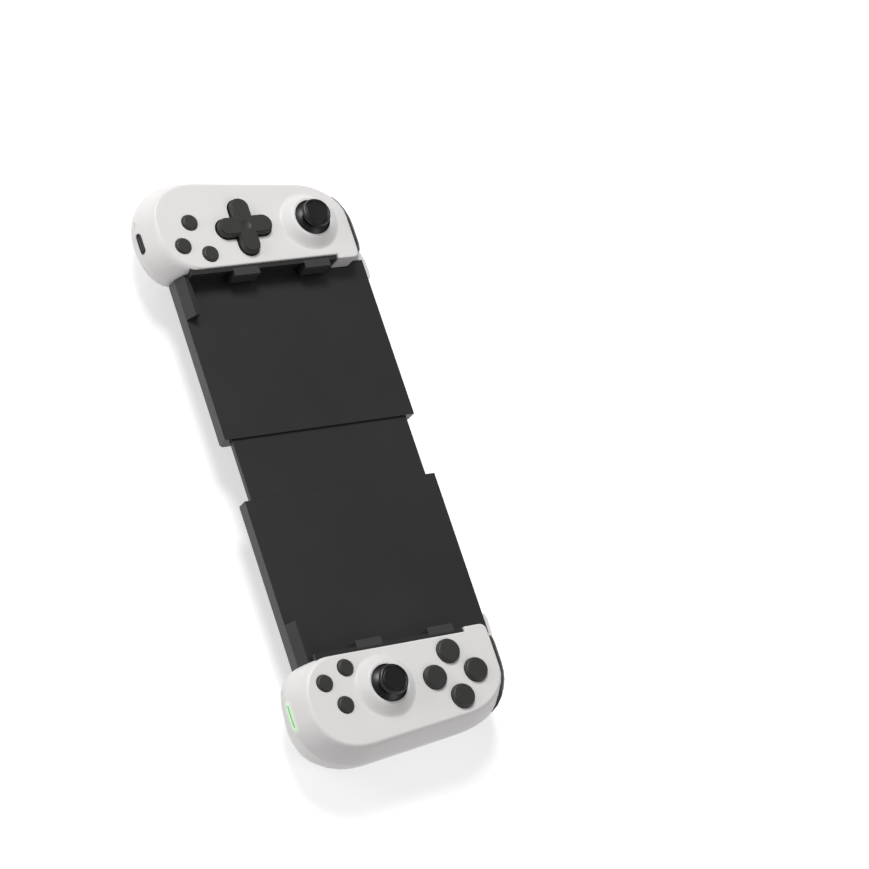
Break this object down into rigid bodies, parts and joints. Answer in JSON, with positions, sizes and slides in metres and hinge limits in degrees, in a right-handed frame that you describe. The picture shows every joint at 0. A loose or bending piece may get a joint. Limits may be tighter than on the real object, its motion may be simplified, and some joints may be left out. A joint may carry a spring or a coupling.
{
  "type": "mobile game controller",
  "caption": "Stretching mobile game controller: two moulded grips with sticks, buttons and triggers on a telescoping bridge that clamps a phone between rubber pads.",
  "frame": {"origin": "middle of the bounding box on plan, at the back of the grips, with the controller lying face up", "axes": "+X towards the right handle, +Y towards the triggers, +Z out of the phone's screen"},
  "size_m": [0.256, 0.1014, 0.0396],
  "materials": {
    "shell": "satin white moulding",
    "bridge": "satin black moulding",
    "controls": "smooth black moulding",
    "inner_plastic": "plain",
    "pads": "matt",
    "silicone": "matt",
    "steel": "plain",
    "board": "lacquered",
    "cell": "foil pouch",
    "light": "clear light guide"
  },
  "bodies": {
    "core": {"centre_slide": "bridge", "centre_slide_plate": "inner_plastic", "ribbon_cable": "inner_plastic", "left_return_spring": "steel", "right_return_spring": "steel"},
    "left_half": {"left_tray": "bridge", "left_tray_cover": "bridge", "left_phone_pads": "pads", "left_front_cover": "shell", "left_rear_cover": "shell", "left_grip_inlay": "bridge", "left_circuit_board": "board", "left_screws": "steel", "left_button_pad": "silicone", "left_stick_housing": "inner_plastic", "left_bumper_switch": "inner_plastic", "left_trigger_pin": "steel", "left_trigger_spring": "steel", "dpad_post": "inner_plastic", "usb_socket": "steel"},
    "right_half": {"right_tray": "bridge", "right_tray_cover": "bridge", "right_phone_pads": "pads", "right_front_cover": "shell", "right_rear_cover": "shell", "right_grip_inlay": "bridge", "right_circuit_board": "board", "right_screws": "steel", "right_button_pad": "silicone", "right_stick_housing": "inner_plastic", "right_bumper_switch": "inner_plastic", "right_trigger_pin": "steel", "right_trigger_spring": "steel", "battery": "cell", "light_guide": "light"},
    "left_stick_yoke": {"left_stick_yoke": "inner_plastic"},
    "right_stick_yoke": {"right_stick_yoke": "inner_plastic"},
    "left_stick_lever": {"left_stick_lever": "steel"},
    "right_stick_lever": {"right_stick_lever": "steel"},
    "left_stick_cap": {"left_stick_cap": "controls"},
    "right_stick_cap": {"right_stick_cap": "controls"},
    "left_bumper": {"left_bumper": "controls"},
    "right_bumper": {"right_bumper": "controls"},
    "left_trigger": {"left_trigger": "controls"},
    "right_trigger": {"right_trigger": "controls"},
    "dpad_pivot": {"dpad_pivot": "steel"},
    "dpad": {"dpad": "controls"},
    "left_small_button_1": {"left_small_button_1": "controls"},
    "left_small_button_2": {"left_small_button_2": "controls"},
    "left_small_button_3": {"left_small_button_3": "controls"},
    "right_small_button_1": {"right_small_button_1": "controls"},
    "right_small_button_2": {"right_small_button_2": "controls"},
    "right_small_button_3": {"right_small_button_3": "controls"},
    "face_button_left": {"face_button_left": "controls"},
    "face_button_top": {"face_button_top": "controls"},
    "face_button_bottom": {"face_button_bottom": "controls"},
    "face_button_right": {"face_button_right": "controls"}
  },
  "joints": [
    {"name": "left_slide", "type": "slide", "parent": "core", "child": "left_half", "axis": [-1, 0, 0], "range_m": [-0.0133, 0.022], "deforming": ["left_return_spring", "ribbon_cable"]},
    {"name": "left_stick_tilt_x", "type": "hinge", "parent": "left_half", "child": "left_stick_yoke", "pos_m": [-0.10135, 0.0242, 0.024], "axis": [1, 0, 0], "range_deg": [-11, 11], "stiffness_Nm_per_rad": 0.03},
    {"name": "left_stick_tilt_y", "type": "hinge", "parent": "left_stick_yoke", "child": "left_stick_lever", "pos_m": [-0.10135, 0.0242, 0.024], "axis": [0, 1, 0], "range_deg": [-11, 11], "stiffness_Nm_per_rad": 0.03},
    {"name": "left_stick_click", "type": "slide", "parent": "left_stick_lever", "child": "left_stick_cap", "axis": [0, 0, -1], "range_m": [0, 0.0005], "stiffness_N_per_m": 600},
    {"name": "left_bumper_press", "type": "slide", "parent": "left_half", "child": "left_bumper", "axis": [0, -1, 0], "range_m": [0, 0.0006], "stiffness_N_per_m": 500},
    {"name": "left_trigger_pull", "type": "hinge", "parent": "left_half", "child": "left_trigger", "pos_m": [-0.10215, 0.0394, 0.019], "axis": [-1, 0, 0], "range_deg": [0, 14], "stiffness_Nm_per_rad": 0.03, "springref_deg": -5.73, "deforming": ["left_trigger_spring"]},
    {"name": "left_small_button_1_press", "type": "slide", "parent": "left_half", "child": "left_small_button_1", "axis": [0, 0, -1], "range_m": [0, 0.0007], "stiffness_N_per_m": 300},
    {"name": "left_small_button_2_press", "type": "slide", "parent": "left_half", "child": "left_small_button_2", "axis": [0, 0, -1], "range_m": [0, 0.0007], "stiffness_N_per_m": 300},
    {"name": "left_small_button_3_press", "type": "slide", "parent": "left_half", "child": "left_small_button_3", "axis": [0, 0, -1], "range_m": [0, 0.0007], "stiffness_N_per_m": 300},
    {"name": "right_slide", "type": "slide", "parent": "core", "child": "right_half", "axis": [1, 0, 0], "range_m": [-0.0133, 0.022], "deforming": ["right_return_spring", "ribbon_cable"]},
    {"name": "right_stick_tilt_x", "type": "hinge", "parent": "right_half", "child": "right_stick_yoke", "pos_m": [0.10135, -0.0109, 0.024], "axis": [1, 0, 0], "range_deg": [-11, 11], "stiffness_Nm_per_rad": 0.03},
    {"name": "right_stick_tilt_y", "type": "hinge", "parent": "right_stick_yoke", "child": "right_stick_lever", "pos_m": [0.10135, -0.0109, 0.024], "axis": [0, 1, 0], "range_deg": [-11, 11], "stiffness_Nm_per_rad": 0.03},
    {"name": "right_stick_click", "type": "slide", "parent": "right_stick_lever", "child": "right_stick_cap", "axis": [0, 0, -1], "range_m": [0, 0.0005], "stiffness_N_per_m": 600},
    {"name": "right_bumper_press", "type": "slide", "parent": "right_half", "child": "right_bumper", "axis": [0, -1, 0], "range_m": [0, 0.0006], "stiffness_N_per_m": 500},
    {"name": "right_trigger_pull", "type": "hinge", "parent": "right_half", "child": "right_trigger", "pos_m": [0.10215, 0.0394, 0.019], "axis": [-1, 0, 0], "range_deg": [0, 14], "stiffness_Nm_per_rad": 0.03, "springref_deg": -5.73, "deforming": ["right_trigger_spring"]},
    {"name": "right_small_button_1_press", "type": "slide", "parent": "right_half", "child": "right_small_button_1", "axis": [0, 0, -1], "range_m": [0, 0.0007], "stiffness_N_per_m": 300},
    {"name": "right_small_button_2_press", "type": "slide", "parent": "right_half", "child": "right_small_button_2", "axis": [0, 0, -1], "range_m": [0, 0.0007], "stiffness_N_per_m": 300},
    {"name": "right_small_button_3_press", "type": "slide", "parent": "right_half", "child": "right_small_button_3", "axis": [0, 0, -1], "range_m": [0, 0.0007], "stiffness_N_per_m": 300},
    {"name": "face_button_left_press", "type": "slide", "parent": "right_half", "child": "face_button_left", "axis": [0, 0, -1], "range_m": [0, 0.0007], "stiffness_N_per_m": 300},
    {"name": "face_button_top_press", "type": "slide", "parent": "right_half", "child": "face_button_top", "axis": [0, 0, -1], "range_m": [0, 0.0007], "stiffness_N_per_m": 300},
    {"name": "face_button_bottom_press", "type": "slide", "parent": "right_half", "child": "face_button_bottom", "axis": [0, 0, -1], "range_m": [0, 0.0007], "stiffness_N_per_m": 300},
    {"name": "face_button_right_press", "type": "slide", "parent": "right_half", "child": "face_button_right", "axis": [0, 0, -1], "range_m": [0, 0.0007], "stiffness_N_per_m": 300},
    {"name": "dpad_rock_x", "type": "hinge", "parent": "left_half", "child": "dpad_pivot", "pos_m": [-0.10135, -0.0071, 0.0248], "axis": [1, 0, 0], "range_deg": [-3.5, 3.5], "stiffness_Nm_per_rad": 0.05},
    {"name": "dpad_rock_y", "type": "hinge", "parent": "dpad_pivot", "child": "dpad", "pos_m": [-0.10135, -0.0071, 0.0248], "axis": [0, 1, 0], "range_deg": [-3.5, 3.5], "stiffness_Nm_per_rad": 0.05}
  ]
}
